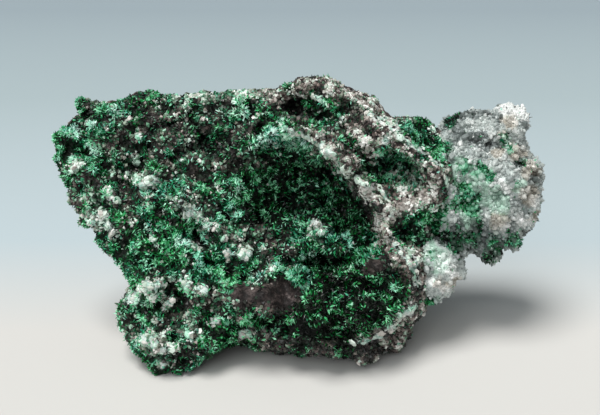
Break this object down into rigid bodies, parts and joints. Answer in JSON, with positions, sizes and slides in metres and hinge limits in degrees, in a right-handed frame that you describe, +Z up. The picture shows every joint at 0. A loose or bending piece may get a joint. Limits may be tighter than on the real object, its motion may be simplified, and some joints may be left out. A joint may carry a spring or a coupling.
{
  "type": "brochantite specimen",
  "caption": "Loose mineral specimen: a dark rock lump with a deep hollow, coated with crusts of small green crystals, with pale quartz crystals on one end.",
  "frame": {"origin": "middle of the overall box's bottom, on the surface that the specimen rests on", "axes": "+X along the specimen's length, towards the quartz end; -Y the side the crusted face shows on; +Z up"},
  "size_m": [0.0544, 0.0248, 0.0287],
  "materials": {
    "matrix_rock": "rough broken rock, dark brown to purplish, with pale quartz grains",
    "brochantite_green": "glassy to pearly small crystals, deep green with mint highlights",
    "quartz_pale": "clear to milky quartz crystals, grey to pinkish white"
  },
  "bodies": {
    "root": {"matrix": "matrix_rock", "quartz_druse": "quartz_pale", "brochantite_crust": "brochantite_green", "brochantite_top_pocket": "brochantite_green", "brochantite_ridge_pocket": "brochantite_green", "brochantite_edge_pocket": "brochantite_green", "brochantite_right_patch": "brochantite_green"}
  },
  "joints": []
}
